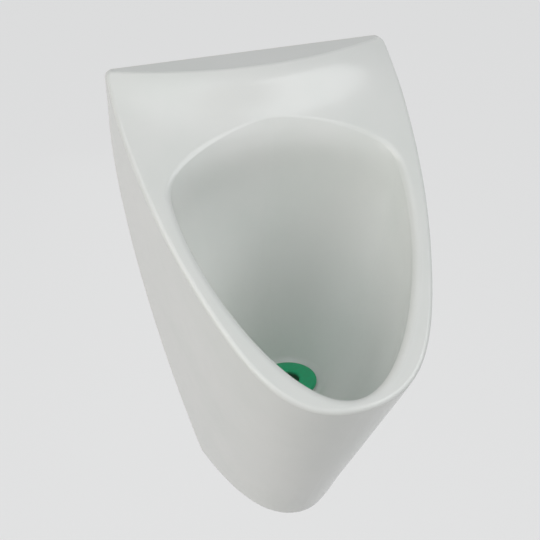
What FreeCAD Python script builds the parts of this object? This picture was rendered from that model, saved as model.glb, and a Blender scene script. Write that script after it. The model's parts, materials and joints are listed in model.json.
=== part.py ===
import FreeCAD, Part
import math
import os

from FreeCAD import Vector

# Wall hung waterless urinal, in millimetres.
# X runs to the right of a person who faces the wall, +Y goes into the wall and +Z is up.
# Every height below is measured from the bowl's lower edge, and y = 0 is the wall's face.
# export() moves the finished pieces so that the origin lies midway between the hanger screws.

# ---- driving dimensions: outside of the bowl ----
bowl_height = 540.0            # lower edge to the top ledge
top_width = 320.0              # across the upper part, where the sides are upright
foot_width = 168.0             # across the lower edge, at the wall
foot_reach = 154.0             # wall to the front of the lower edge
lip_height = 290.0             # lower edge to the front lip
lip_reach = 340.0              # wall to the front lip
upright_above = 459.0          # from here up the sides are upright
corner_reach = 5.0             # depth of the ledge at its two ends
ledge_bulge = 57.0             # how much further the ledge comes forward at its middle
ledge_fade = 88.0              # height over which the bulge runs out below the ledge
ledge_roll = 12.0              # how far the ledge's soft edge falls back at its middle
ledge_roll_height = 20.0
corner_radius = 9.0            # round of the two top corners
ridge_radius = 5.0             # round along the outer edge of the rim
mouth_radius = 8.0             # round along the inner edge of the rim
foot_radius = 3.0              # round on the lower edge
wall_overrun = 2.0             # the blank runs this far past the wall's face and is cut flat

# ---- basin ----
china = 11.0                   # wall thickness of the vitreous china
arch_drop = 46.0               # top ledge down to the mouth's arch
arch_reach = 80.0              # wall to the mouth's arch
rim_side = 34.0                # width of the rim where the mouth is widest
front_rim = 12.0               # level width of the rim at the front lip
basin_back = 59.0              # wall to the basin's back, half way down
drain_reach = 115.0            # wall to the drain's axis
basin_floor = 170.0            # level of the floor round the drain
floor_radius = 41.0            # level floor round the drain
floor_round = 12.0             # round between the floor and the basin's side
recess_radius = 34.0           # recess that takes the housing's flange, hidden by the cover
recess_depth = 8.0
outlet_radius = 29.5           # hole through the china
boss_radius = 50.0             # thick china round the outlet
boss_height = 20.0

# ---- hanging web and hooks ----
web_front = 24.0               # wall to the front of the web
web_back = 12.0                # wall to the back of the web
web_below_seat = 43.0
web_above_seat = 31.0
hook_drop = 125.0              # top ledge down to the hook's seat, where the bowl hangs
hook_inset = 70.0              # side of the bowl to the middle of a hook
hook_width = 30.0
hook_steel = 3.0
hook_tongue = 20.0             # height of the tongue above the seat
pad_thickness = 1.5
slot_clearance = 3.0
screw_drop = 17.0              # hook's seat down to the upper screw
screw_row_gap = 28.0
plate_margin = 14.0            # lower screw to the plate's lower end

# ---- lower fixings ----
lug_height = 78.0              # axis of the lower screws
lug_spacing = 144.0
lug_size = 34.0
lug_thickness = 14.0
bush_radius = 6.0
bush_collar = 2.0
bush_clearance = 0.15

# ---- screws and washers ----
screw_radius = 3.9             # over the thread
shank_radius = 3.5             # plain shank under the head, thinner than the rolled thread
shank_past_wall = 0.2          # the plain shank ends this far inside the wall
screw_depth = 44.0             # how far the screws reach into the wall
screw_point = 7.8              # length of the screw's tapered point
point_radius = 0.6             # at the point's very end
head_across_flats = 13.0
head_height = 5.3
washer_radius = 9.0
washer_thickness = 1.6
washer_clearance = 0.4         # between the thread and every hole it passes through

# ---- drain housing ----
flange_radius = 33.2
flange_thickness = 4.0
seal_thickness = 1.5
housing_radius = 28.0
housing_wall = 3.0
cup_bottom = 116.0             # where the housing's wall starts to narrow
cone_height = 12.0
pipe_radius = 20.0             # outside of the 40 mm waste pipe
pipe_wall = 2.5
under_seal_thickness = 3.0
under_seal_radius = 42.0
slip_thickness = 1.5
back_nut_height = 12.0
back_nut_radius = 39.0
back_nut_lugs = 8
lug_reach = 5.0
thread_clearance = 0.2

# ---- cartridge ----
cup_gap = 1.0                  # cartridge cup to the housing's bore
cup_wall = 2.4
cup_rim_radius = 33.0          # its white edge shows under the cover
cup_rim_thickness = 4.2
cup_floor = 128.0
floor_thickness = 2.5
deck_thickness = 2.4           # top deck that the cover's lugs turn under
deck_drop = 0.6                # deck below the cup's rim
ring_groove = 1.3
ring_heights = (157.0, 149.0)
ring_section = 1.5
ring_clearance = 0.08
weep_holes = 6
weep_radius = 4.0
weep_circle = 15.5
guide_radius = 5.4
guide_bore = 3.2
guide_height = 8.0

# ---- cover ring ----
cover_radius = 34.5
cover_edge = 2.4               # height of the cover's upright edge
cover_crown = 5.6              # top of the cover above its seat
cover_wall = 2.4
throat_radius = 13.5
throat_wall = 2.2
crown_share = 0.20             # the crown's place between the throat and the cover's edge
throat_drop = 9.0              # throat tube below the cartridge's deck
bayonet_lugs = 3
bayonet_angle = 26.0
bayonet_reach = 3.2
bayonet_thickness = 3.0
bayonet_clearance = 0.35
bayonet_turn = 50.0            # from locked to free
deck_clearance = 0.3
inlet_seal_thickness = 1.4

# ---- float ----
float_radius = 14.0
float_travel = 5.0
float_crown = 1.5
stem_clearance = 0.3
stem_gap = 1.0

# ---- outlet bend and wall pipe ----
pipe_height = 40.0             # axis of the wall pipe
bend_radius = 30.0
socket_length = 24.0
socket_clearance = 0.3
socket_wall = 3.7
bend_wall = 3.0
nut_height = 22.0
nut_cap = 3.0
nut_wall = 4.4
nut_ribs = 12
cone_height_seal = 5.0
spigot_depth = 20.0            # how far a pipe goes into its socket
pipe_behind_wall = 45.0
stop_ring_width = 3.0          # ring that stops the pipe in the wall's socket
stop_ring_height = 2.5
free_spigot = 36.0             # plain end of the pipe beyond the ring
rose_radius = 34.0
rose_thickness = 6.0

# ---- worked out from the values above ----
arch_height = bowl_height - arch_drop
mouth_width = top_width - 2.0 * rim_side
hook_seat = bowl_height - hook_drop
hook_spacing = top_width - 2.0 * hook_inset
web_low = hook_seat - web_below_seat
web_high = hook_seat + web_above_seat
upper_screw_height = hook_seat - screw_drop
plate_low = upper_screw_height - screw_row_gap - plate_margin
front_slope = (lip_reach - foot_reach) / lip_height
recess_floor = basin_floor - recess_depth
flange_top = recess_floor + seal_thickness + flange_thickness
boss_under = basin_floor - boss_height
housing_bore = housing_radius - housing_wall
cup_radius = housing_bore - cup_gap
cup_top = flange_top + cup_rim_thickness
deck_top = cup_top - deck_drop
deck_under = deck_top - deck_thickness
throat_outer = throat_radius + throat_wall
throat_low = deck_under - throat_drop
float_top = throat_low - inlet_seal_thickness - deck_clearance - float_travel
guide_top = cup_floor + floor_thickness + guide_height
bend_start = pipe_height + bend_radius
socket_top = bend_start + socket_length
spigot_low = socket_top - spigot_depth
bend_wall_side = drain_reach - bend_radius
socket_wall_end = bend_wall_side - socket_length
origin_height = upper_screw_height - screw_row_gap / 2.0

X_AXIS = Vector(1, 0, 0)
Y_AXIS = Vector(0, 1, 0)
Z_AXIS = Vector(0, 0, 1)


# ---------------------------------------------------------------- helpers
def box(x_low, x_high, y_low, y_high, z_low, z_high):
    """A block between two corners."""
    size = (x_high - x_low, y_high - y_low, z_high - z_low)
    return Part.makeBox(size[0], size[1], size[2], Vector(x_low, y_low, z_low))


def rod(radius, start, end):
    """A round rod from one point to another."""
    axis = end.sub(start)
    return Part.makeCylinder(radius, axis.Length, start, axis)


def pipe(outer, inner, start, end):
    """A round tube from one point to another."""
    return rod(outer, start, end).cut(rod(inner, start, end))


def turned(profile):
    """Revolve a closed (radius, height) profile about the drain's upright axis."""
    points = [Vector(radius, -drain_reach, height) for radius, height in profile]
    face = Part.Face(Part.makePolygon(points + points[:1]))
    return face.revolve(Vector(0, -drain_reach, 0), Z_AXIS, 360)


def turned_curve(poles):
    """A smooth curve through (radius, height) poles, for a profile about the drain's axis."""
    curve = Part.BezierCurve()
    curve.setPoles([Vector(radius, -drain_reach, height) for radius, height in poles])
    return curve.toShape()


def mix(low, high, share):
    """The value a share of the way from low to high."""
    return low + (high - low) * share


def hexagon(across_flats, height, centre):
    """A hexagonal prism that grows towards -Y from its centre."""
    corner = across_flats / math.sqrt(3.0)
    points = []
    for index in range(6):
        angle = math.radians(60.0 * index)
        points.append(Vector(corner * math.cos(angle), 0, corner * math.sin(angle)) + centre)
    face = Part.Face(Part.makePolygon(points + points[:1]))
    return face.extrude(Vector(0, -height, 0))


# ---------------------------------------------------------------- outside form
def half_width(height):
    """Half the bowl's width at the wall: it grows from the foot and then stays upright."""
    short = max(0.0, 1.0 - height / upright_above)
    return mix(foot_width, top_width, 1.0 - short ** 1.5) / 2.0


def plan_handles(height):
    """How full the plan is at one height: side lean, side handle and front handle, as shares."""
    if height < lip_height:
        share = height / lip_height
        return mix(0.16, 0.21, share), mix(0.51, 0.58, share), mix(0.57, 0.75, share)
    share = (height - lip_height) / (bowl_height - lip_height)
    return mix(0.21, -0.08, share), mix(0.58, 0.53, share), mix(0.75, 0.52, share)


def plan_wire(height, inset):
    """The bowl's plan at one height: straight at the wall, with a full curve to the front."""
    lean, side, front = plan_handles(height)
    outer = half_width(height)
    width = outer - inset
    reach = foot_reach + front_slope * height - inset
    shoulder = outer * (1.0 - lean) - inset
    front_x = outer * front - inset * front
    edges = []
    for sign in (1, -1):
        curve = Part.BezierCurve()
        poles = [Vector(sign * width, 0, height), Vector(sign * shoulder, -side * reach, height),
                 Vector(sign * front_x, -reach, height), Vector(0, -reach, height)]
        curve.setPoles(poles if sign > 0 else poles[::-1])
        edges.append(curve.toShape())
    corners = [Vector(-width, 0, height), Vector(-width, wall_overrun, height),
               Vector(width, wall_overrun, height), Vector(width, 0, height)]
    back = [Part.makeLine(first, second) for first, second in zip(corners, corners[1:])]
    return Part.Wire(back + edges)


def outside_form(inset=0.0):
    """The bowl's outside as a solid, moved in by inset."""
    steps = 9
    wires = [plan_wire(bowl_height * index / steps, inset) for index in range(steps + 1)]
    return Part.makeLoft(wires, True, False)


def rim_reach(x, height):
    """Distance from the wall to the slanted rim, which swells forward under the top ledge."""
    drop = (bowl_height - height) / (bowl_height - lip_height)
    flat = mix(corner_reach, lip_reach, drop)
    below = bowl_height - height
    swell = ledge_bulge * max(0.0, 1.0 - below / ledge_fade) ** 2
    roll = ledge_roll * max(0.0, 1.0 - below / ledge_roll_height) ** 2
    return flat + (swell - roll) * (1.0 - (2.0 * x / top_width) ** 2)


def above_rim(shift=0.0):
    """Everything in front of the rim's slanted surface, or in front of it moved in by shift."""
    columns = [top_width * share for share in (-0.56, -0.4, -0.2, 0.0, 0.2, 0.4, 0.56)]
    low = lip_height - china * 5.0
    high = bowl_height + china
    slope = (lip_reach - corner_reach) / (bowl_height - lip_height)
    back_off = shift * math.sqrt(1.0 + slope * slope)
    roll_start = bowl_height - ledge_roll_height
    rows = [mix(low, roll_start, index / 13.0) for index in range(14)]
    rows += [bowl_height - ledge_roll_height * share for share in (0.7, 0.45, 0.2, 0.0)]
    rows.append(high)
    grid = [[Vector(x, back_off - rim_reach(x, z), z) for x in columns] for z in rows]
    surface = Part.BSplineSurface()
    surface.interpolate(grid)
    return surface.toShape().extrude(Vector(0, -lip_reach * 1.6, 0))


# ---------------------------------------------------------------- basin
def egg_wire(back, front, width, side_share, handles, grow):
    """An egg-shaped loop in the plane through two points of the bowl's middle line."""
    run = front.sub(back)
    length = run.Length
    along = Vector(run).normalize()
    back_point = back.sub(along * grow)
    full = length + 2.0 * grow
    wide = width / 2.0 + grow
    side = full * side_share
    back_x, side_back, side_front, front_x = handles
    edges = []
    for sign in (1, -1):
        def place(x, distance):
            return back_point.add(along * distance).add(X_AXIS * (sign * x))
        first = Part.BezierCurve()
        first.setPoles([place(0, 0), place(back_x * wide, 0), place(wide, side * (1 - side_back)),
                        place(wide, side)])
        second = Part.BezierCurve()
        second.setPoles([place(wide, side), place(wide, side + side_front * (full - side)),
                         place(front_x * wide, full), place(0, full)])
        pair = [first.toShape(), second.toShape()]
        edges += pair if sign > 0 else [pair[1], pair[0]]
    return Part.Wire(edges)


def basin_loops():
    """The basin's loops from above the mouth down to the level floor at the drain."""
    egg = (0.58, 0.54, 0.36, 0.53)
    oval = (0.56, 0.55, 0.50, 0.55)
    circle = (0.552, 0.552, 0.552, 0.552)
    lip_inner = lip_reach - front_rim
    lip_level = bowl_height - (bowl_height - lip_height) * (lip_inner - corner_reach) / (
        lip_reach - corner_reach)
    depth = lip_level - basin_floor
    rise = arch_height - basin_floor
    drain_front = drain_reach + floor_radius
    out = lip_inner - drain_front
    lift = 34.0
    loops = [
        (-arch_reach + 7.0, arch_height + 18.0, -lip_inner - 14.0, lip_level + lift,
         mouth_width, 0.195, egg),
        (-arch_reach, arch_height, -lip_inner, lip_level, mouth_width, 0.195, egg),
        (-arch_reach - 4.5, arch_height - 16.0, -lip_inner + 6.0, lip_level - 11.0,
         mouth_width * 0.994, 0.20, egg),
        (-arch_reach - 4.0, arch_height - 36.0, -lip_inner + 13.0, lip_level - 24.0,
         mouth_width * 0.982, 0.212, egg),
        (-arch_reach + 4.0, arch_height - 66.0, -drain_front - 0.865 * out,
         basin_floor + 0.70 * depth, mouth_width * 0.96, 0.235, egg),
        (-basin_back - 6.0, basin_floor + 0.62 * rise, -drain_front - 0.66 * out,
         basin_floor + 0.45 * depth, mouth_width * 0.86, 0.30, egg),
        (-basin_back, basin_floor + 0.38 * rise, -drain_front - 0.39 * out,
         basin_floor + 0.22 * depth, mouth_width * 0.69, 0.38, oval),
        (-basin_back - 2.0, basin_floor + 0.14 * rise, -drain_front - 0.14 * out,
         basin_floor + 0.07 * depth, mouth_width * 0.49, 0.47, oval),
        (-drain_reach + floor_radius, basin_floor, -drain_front, basin_floor,
         2.0 * floor_radius, 0.5, circle),
    ]
    return loops


def basin_form(grow=0.0):
    """The basin's hollow, or the same form swollen by the thickness of the china."""
    wires = []
    loops = basin_loops()
    for index, (back_y, back_z, front_y, front_z, width, share, handles) in enumerate(loops):
        drop = grow if index == len(loops) - 1 else 0.0
        back = Vector(0, back_y, back_z - drop)
        front = Vector(0, front_y, front_z - drop)
        wires.append(egg_wire(back, front, width, share, handles, grow))
    return Part.makeLoft(wires, True, False)


def edges_near(shape, surface_test):
    """The edges of a shape whose middle point passes a test."""
    chosen = []
    for edge in shape.Edges:
        middle = edge.valueAt(mix(edge.FirstParameter, edge.LastParameter, 0.5))
        if surface_test(middle):
            chosen.append(edge)
    return chosen


def on_rim(point):
    """True for a point on the rim's slanted surface or on the ledge's ends, above the lip."""
    at_rim = abs(-point.y - rim_reach(point.x, point.z)) < 0.6 and point.z > lip_height - 2.0
    at_end = point.z > bowl_height - 0.1 and 0.1 < -point.y < corner_reach
    return at_rim or at_end


def hollow_back():
    """The space behind and below the basin, open to the wall and at the lower edge."""
    hollow = outside_form(china).cut(above_rim(china))
    wide = top_width
    deep = lip_reach + china
    hollow = hollow.cut(box(-wide, wide, -deep, china, bowl_height - china, bowl_height + china))
    hollow = hollow.cut(basin_form(china))
    hollow = hollow.cut(rod(boss_radius, Vector(0, -drain_reach, boss_under),
                            Vector(0, -drain_reach, basin_floor)))
    hollow = hollow.cut(box(-wide, wide, -web_front, -web_back, web_low, web_high))
    for sign in (1, -1):
        near = sign * (lug_spacing - lug_size) / 2.0
        far = sign * wide
        hollow = hollow.cut(box(min(near, far), max(near, far), -lug_thickness, 0,
                                lug_height - lug_size / 2.0, lug_height + lug_size / 2.0))
    return hollow


def ceramic_bowl():
    """The china: outside form, slanted rim, basin, hollow back, hanging web and lower lugs."""
    blank = outside_form().cut(box(-top_width, top_width, 0, 2.0 * wall_overrun, -1.0,
                                   bowl_height + 1.0))
    top_edges = edges_near(blank, lambda p: abs(p.z - bowl_height) < 0.01 and p.y < -1.0)
    blank = blank.makeFillet(corner_radius, top_edges)
    blank = blank.cut(above_rim())
    blank = blank.makeFillet(ridge_radius, edges_near(blank, on_rim))
    foot = edges_near(blank, lambda point: abs(point.z) < 0.01 and point.y < -1.0)
    blank = blank.makeFillet(foot_radius, foot)
    basin = basin_form()
    floor_edges = edges_near(basin, lambda p: abs(p.z - basin_floor) < 0.01)
    basin = basin.makeFillet(floor_round, floor_edges)
    wall = basin.Shells[0]
    bowl = blank.cut(basin)
    mouth = edges_near(bowl, lambda point: wall.distToShape(Part.Vertex(point))[0] < 0.01
                       and abs(-point.y - rim_reach(point.x, point.z)) < 1.0)
    bowl = bowl.makeFillet(mouth_radius, mouth)
    bowl = bowl.cut(hollow_back())
    axis_low = Vector(0, -drain_reach, boss_under - 1.0)
    bowl = bowl.cut(rod(outlet_radius, axis_low, Vector(0, -drain_reach, basin_floor + 1.0)))
    bowl = bowl.cut(rod(recess_radius, Vector(0, -drain_reach, recess_floor),
                        Vector(0, -drain_reach, basin_floor + 1.0)))
    slot_top = hook_seat + pad_thickness
    slot_low = slot_top - hook_tongue - hook_steel - 2.0 * slot_clearance
    for sign in (1, -1):
        centre = sign * hook_spacing / 2.0
        half = hook_width / 2.0 + slot_clearance
        bowl = bowl.cut(box(centre - half, centre + half, -web_front - 1.0, -web_back + 1.0,
                            slot_low, slot_top))
        hole = rod(bush_radius, Vector(sign * lug_spacing / 2.0, -lug_thickness - 1.0, lug_height),
                   Vector(sign * lug_spacing / 2.0, 1.0, lug_height))
        bowl = bowl.cut(hole)
    return bowl


# ---------------------------------------------------------------- hanging and fixing
def hanger(sign):
    """A steel hook: a plate on the wall, a level seat and an upright tongue."""
    front = web_front + slot_clearance + hook_steel
    profile = [(0, plate_low), (0, hook_seat), (-front + hook_steel, hook_seat),
               (-front + hook_steel, hook_seat + hook_tongue), (-front, hook_seat + hook_tongue),
               (-front, hook_seat - hook_steel), (-hook_steel, hook_seat - hook_steel),
               (-hook_steel, plate_low)]
    centre = sign * hook_spacing / 2.0
    points = [Vector(centre - hook_width / 2.0, y, z) for y, z in profile]
    face = Part.Face(Part.makePolygon(points + points[:1]))
    hook = face.extrude(Vector(hook_width, 0, 0))
    bends = edges_near(hook, lambda p: abs(p.x - centre) < 0.1 and abs(p.z - hook_seat) < 0.1
                       and abs(p.y) < 0.1)
    bends += edges_near(hook, lambda p: abs(p.x - centre) < 0.1
                        and abs(p.z - hook_seat + hook_steel) < 0.1 and abs(p.y + front) < 0.1)
    hook = hook.makeFillet(hook_steel, bends)
    corners = edges_near(hook, lambda p: abs(abs(p.x - centre) - hook_width / 2.0) < 0.1
                         and (abs(p.z - plate_low) < 0.1
                              or abs(p.z - hook_seat - hook_tongue) < 0.1))
    hook = hook.makeFillet(2.0 * hook_steel, corners)
    for height in screw_heights():
        hook = hook.cut(rod(screw_radius + washer_clearance,
                            Vector(centre, -hook_steel - 1.0, height),
                            Vector(centre, 1.0, height)))
    return hook


def screw_heights():
    """Heights of the two screws in a hanger."""
    return upper_screw_height, upper_screw_height - screw_row_gap


def hanger_holes():
    """Where the four hanger screws go in, on the wall's face."""
    return [Vector(sign * hook_spacing / 2.0, 0, height)
            for sign in (1, -1) for height in screw_heights()]


def lower_holes():
    """Where the two lower screws go in, on the wall's face."""
    return [Vector(sign * lug_spacing / 2.0, 0, lug_height) for sign in (1, -1)]


def wall_screw(place, seat):
    """A hexagon-headed wood screw whose head bears at the distance seat from the wall."""
    under_head = place.add(Vector(0, -seat, 0))
    shank_end = place.add(Vector(0, shank_past_wall, 0))
    thread_end = place.add(Vector(0, screw_depth - screw_point, 0))
    shank = rod(shank_radius, under_head, shank_end)
    thread = rod(screw_radius, shank_end, thread_end)
    point = Part.makeCone(screw_radius, point_radius, screw_point, thread_end, Y_AXIS)
    head = hexagon(head_across_flats, head_height, under_head)
    chamfer = Part.makeCone(head_across_flats / 2.0 - 0.3, head_across_flats * 0.5 + head_height,
                            head_height, under_head.add(Vector(0, -head_height, 0)), Y_AXIS)
    return shank.fuse([thread, point, head.common(chamfer)]).removeSplitter()


def washer(place, seat):
    """A flat steel washer whose back lies at the distance seat from the wall."""
    back = place.add(Vector(0, -seat, 0))
    front = back.add(Vector(0, -washer_thickness, 0))
    return pipe(washer_radius, screw_radius + washer_clearance, back, front)


def lower_bush(place):
    """A collared nylon bush between a lower screw and the china."""
    front = place.add(Vector(0, -lug_thickness, 0))
    collar = front.add(Vector(0, -bush_collar, 0))
    body = rod(bush_radius - bush_clearance, place, front).fuse(
        rod(washer_radius, front, collar))
    return body.cut(rod(screw_radius + washer_clearance, place, collar)).removeSplitter()


def hook_pad(sign):
    """A rubber strip between a hook's seat and the china."""
    centre = sign * hook_spacing / 2.0
    return box(centre - hook_width / 2.0, centre + hook_width / 2.0, -web_front, -web_back,
               hook_seat, hook_seat + pad_thickness)


# ---------------------------------------------------------------- drain housing and its seals
def drain_housing():
    """The flanged plastic cup that holds the cartridge and narrows to the waste spigot."""
    spigot_bore = pipe_radius - pipe_wall
    cone_low = cup_bottom - cone_height
    profile = [(housing_bore, flange_top), (flange_radius - 1.0, flange_top),
               (flange_radius, flange_top - 1.0), (flange_radius, recess_floor + seal_thickness),
               (housing_radius, recess_floor + seal_thickness), (housing_radius, cup_bottom),
               (pipe_radius, cone_low), (pipe_radius, spigot_low + 1.0),
               (pipe_radius - 1.0, spigot_low), (spigot_bore, spigot_low),
               (spigot_bore, cone_low + pipe_wall), (housing_bore, cup_bottom + housing_wall)]
    return turned(profile)


def flat_ring(inner, outer, low, high):
    """A flat ring on the drain's axis."""
    return turned([(inner, low), (outer, low), (outer, high), (inner, high)])


def back_nut():
    """The large plastic nut that clamps the housing to the china, with grip lugs."""
    high = boss_under - under_seal_thickness - slip_thickness
    low = high - back_nut_height
    nut = flat_ring(housing_radius + thread_clearance, back_nut_radius, low, high)
    for index in range(back_nut_lugs):
        angle = 360.0 * index / back_nut_lugs
        lug = box(back_nut_radius - 2.0, back_nut_radius + lug_reach,
                  -lug_reach, lug_reach, low, high)
        lug.rotate(Vector(0, 0, 0), Z_AXIS, angle)
        lug.translate(Vector(0, -drain_reach, 0))
        nut = nut.fuse(lug)
    return nut.removeSplitter()


# ---------------------------------------------------------------- cartridge
def cartridge_cup():
    """The lift-out cup: rim, O-ring grooves, slotted deck, weep holes and the float's guide."""
    inner = cup_radius - cup_wall
    outline = [(throat_outer + bayonet_clearance, deck_top),
               (cup_rim_radius - 1.5, deck_top), (cup_rim_radius - 1.5, cup_top),
               (cup_rim_radius, cup_top), (cup_rim_radius, flange_top), (cup_radius, flange_top)]
    for height in ring_heights:
        half = ring_section
        outline += [(cup_radius, height + half), (cup_radius - ring_groove, height + half),
                    (cup_radius - ring_groove, height - half), (cup_radius, height - half)]
    outline += [(cup_radius, cup_floor), (guide_bore, cup_floor), (guide_bore, guide_top),
                (guide_radius, guide_top), (guide_radius, cup_floor + floor_thickness),
                (inner, cup_floor + floor_thickness), (inner, deck_under),
                (throat_outer + bayonet_clearance, deck_under)]
    cup = turned(outline)
    for index in range(weep_holes):
        angle = math.radians(360.0 * index / weep_holes)
        centre = Vector(weep_circle * math.cos(angle), weep_circle * math.sin(angle) - drain_reach,
                        cup_floor - 1.0)
        cup = cup.cut(rod(weep_radius, centre, centre.add(Z_AXIS * (floor_thickness + 2.0))))
    notch_reach = throat_outer + bayonet_reach + 2.0 * bayonet_clearance
    for index in range(bayonet_lugs):
        start = 360.0 * index / bayonet_lugs + bayonet_turn
        notch = sector(notch_reach, start, bayonet_angle + 4.0, deck_under - 1.0, deck_top + 1.0)
        cup = cup.cut(notch)
    return cup


def sector(radius, middle, angle, low, high):
    """A wedge of a disc on the drain's axis, centred on the direction middle, in degrees."""
    wedge = Part.makeCylinder(radius, high - low, Vector(0, -drain_reach, low), Z_AXIS, angle)
    wedge.rotate(Vector(0, -drain_reach, 0), Z_AXIS, middle - angle / 2.0)
    return wedge


def o_rings():
    """The rubber rings in the cartridge's grooves, with an eight-sided section."""
    inner = cup_radius - ring_groove
    outer = housing_bore - ring_clearance
    centre = (inner + outer) / 2.0
    half = (outer - inner) / 2.0
    flat = half * math.tan(math.radians(22.5))
    section = [(half, flat), (flat, half), (-flat, half), (-half, flat),
               (-half, -flat), (-flat, -half), (flat, -half), (half, -flat)]
    return group(turned([(centre + across, height + up) for across, up in section])
                 for height in ring_heights)


def cover_ring():
    """The domed cover with its funnel, throat tube and three bayonet lugs."""
    base = cup_top
    edge_top = base + cover_edge
    crown = base + cover_crown
    crown_radius = mix(throat_radius, cover_radius, crown_share)
    lug_high = deck_under - bayonet_clearance
    dome = turned_curve([(cover_radius, edge_top), (cover_radius, mix(edge_top, crown, 0.75)),
                         (mix(crown_radius, cover_radius, 0.65), crown), (crown_radius, crown)])
    funnel_low = base
    funnel = turned_curve([(crown_radius, crown), (mix(throat_radius, crown_radius, 0.25), crown),
                           (throat_radius, mix(funnel_low, crown, 0.75)),
                           (throat_radius, funnel_low)])
    under = [(throat_radius, throat_low), (throat_outer, throat_low), (throat_outer, base),
             (cover_radius, base)]
    points = [Vector(radius, -drain_reach, height) for radius, height in under]
    straight = [Part.makeLine(Vector(throat_radius, -drain_reach, funnel_low), points[0])]
    straight += [Part.makeLine(first, second) for first, second in zip(points, points[1:])]
    straight.append(Part.makeLine(points[-1], Vector(cover_radius, -drain_reach, edge_top)))
    wire = Part.Wire([dome, funnel] + straight)
    cover = Part.Face(wire).revolve(Vector(0, -drain_reach, 0), Z_AXIS, 360)
    scoop_high = base + cover_wall
    scoop = turned([(throat_outer + cover_wall, base - 1.0), (cover_radius - cover_wall, base - 1.0),
                    (cover_radius - cover_wall, base + cover_edge * 0.5),
                    (crown_radius + cover_wall, scoop_high + 1.0),
                    (throat_outer + cover_wall, scoop_high + 1.0)])
    cover = cover.cut(scoop)
    for index in range(bayonet_lugs):
        lug = sector(throat_outer + bayonet_reach, 360.0 * index / bayonet_lugs, bayonet_angle,
                     lug_high - bayonet_thickness, lug_high)
        lug = lug.cut(rod(throat_radius + throat_wall / 2.0,
                          Vector(0, -drain_reach, throat_low), Vector(0, -drain_reach, base)))
        cover = cover.fuse(lug)
    return cover.removeSplitter()


def inlet_seal():
    """The soft ring under the throat that the float closes."""
    return flat_ring(throat_radius - 1.5, throat_outer, throat_low - inlet_seal_thickness,
                     throat_low)


def valve_float():
    """The float: a drum with a rounded top and a guide stem below."""
    seat = Vector(0, -drain_reach, guide_top)
    drum = rod(float_radius, seat, Vector(0, -drain_reach, float_top))
    crown = edges_near(drum, lambda point: abs(point.z - float_top) < 0.01)
    drum = drum.makeFillet(float_crown, crown)
    stem = rod(guide_bore - stem_clearance, Vector(0, -drain_reach, cup_floor + stem_gap), seat)
    return drum.fuse(stem).removeSplitter()


# ---------------------------------------------------------------- waste bend and pipe
def outlet_bend():
    """The bend with a socket at each end, from the housing's spigot to the wall pipe."""
    bore = pipe_radius - pipe_wall
    outer = bore + bend_wall
    socket_bore = pipe_radius + socket_clearance
    socket_outer = socket_bore + socket_wall
    corner = Vector(0, -bend_wall_side, bend_start)
    start = Vector(0, -drain_reach, bend_start)
    ring = Part.Face([Part.Wire(Part.makeCircle(outer, start, Z_AXIS)),
                      Part.Wire(Part.makeCircle(bore, start, Z_AXIS))])
    ring.validate()
    bend = ring.revolve(corner, X_AXIS, 90)
    wall_start = Vector(0, -bend_wall_side, pipe_height)
    wall_end = Vector(0, -socket_wall_end, pipe_height)
    top_end = Vector(0, -drain_reach, socket_top)
    upright = pipe(socket_outer, socket_bore, start.add(Z_AXIS * bend_wall), top_end)
    level = pipe(socket_outer, socket_bore, wall_start.add(Y_AXIS * bend_wall), wall_end)
    upright_step = pipe(socket_outer, bore, start, start.add(Z_AXIS * bend_wall))
    level_step = pipe(socket_outer, bore, wall_start, wall_start.add(Y_AXIS * bend_wall))
    return bend.fuse([upright_step, upright, level_step, level]).removeSplitter()


def joint_frames():
    """The two pipe joints: the end of each socket and the direction that it faces."""
    return [(Vector(0, -drain_reach, socket_top), Z_AXIS),
            (Vector(0, -socket_wall_end, pipe_height), Y_AXIS)]


def coupling_nut(end, facing):
    """A ribbed nut over a socket's end, with a cap that holds the cone washer."""
    socket_outer = pipe_radius + socket_clearance + socket_wall
    inner = socket_outer + thread_clearance
    outer = inner + nut_wall
    cap_start = end.add(facing * cone_height_seal)
    low = end.sub(facing * (nut_height - nut_cap - cone_height_seal))
    high = cap_start.add(facing * nut_cap)
    nut = rod(outer, low, high).cut(rod(inner, low, cap_start))
    nut = nut.cut(rod(pipe_radius + socket_clearance, low, high.add(facing)))
    across = X_AXIS
    other = facing.cross(across)
    for index in range(nut_ribs):
        angle = 2.0 * math.pi * index / nut_ribs
        centre = across * (outer * math.cos(angle)) + other * (outer * math.sin(angle))
        nut = nut.fuse(rod(1.6, low.add(centre), high.add(centre)))
    return nut.removeSplitter()


def cone_washer(end, facing):
    """The tapered rubber washer between a socket's end and its nut."""
    socket_outer = pipe_radius + socket_clearance + socket_wall
    wide = Part.makeCone(pipe_radius + 1.2, socket_outer - 0.3, cone_height_seal, end, facing)
    return wide.cut(rod(pipe_radius + 0.05, end.sub(facing), end.add(facing * nut_height)))


def wall_pipe():
    """The straight waste pipe from the bend's socket into the wall, with its stop ring."""
    start = Vector(0, -socket_wall_end - spigot_depth, pipe_height)
    ring_end = Vector(0, pipe_behind_wall - free_spigot, pipe_height)
    ring_start = ring_end.sub(Y_AXIS * stop_ring_width)
    tube = rod(pipe_radius, start, Vector(0, pipe_behind_wall, pipe_height))
    tube = tube.fuse(rod(pipe_radius + stop_ring_height, ring_start, ring_end))
    bore_end = Vector(0, pipe_behind_wall + 1.0, pipe_height)
    return tube.cut(rod(pipe_radius - pipe_wall, start.sub(Y_AXIS), bore_end))


def wall_rose():
    """The round plate that covers the hole in the wall."""
    centre = Vector(0, 0, pipe_height)
    cone = Part.makeCone(rose_radius, rose_radius * 0.72, rose_thickness, centre, Y_AXIS * -1)
    return cone.cut(rod(pipe_radius + socket_clearance, centre,
                        centre.sub(Y_AXIS * rose_thickness)))


# ---------------------------------------------------------------- the pieces
def group(shapes):
    """Separate solids of one kind as one node."""
    return Part.makeCompound(list(shapes))


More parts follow.
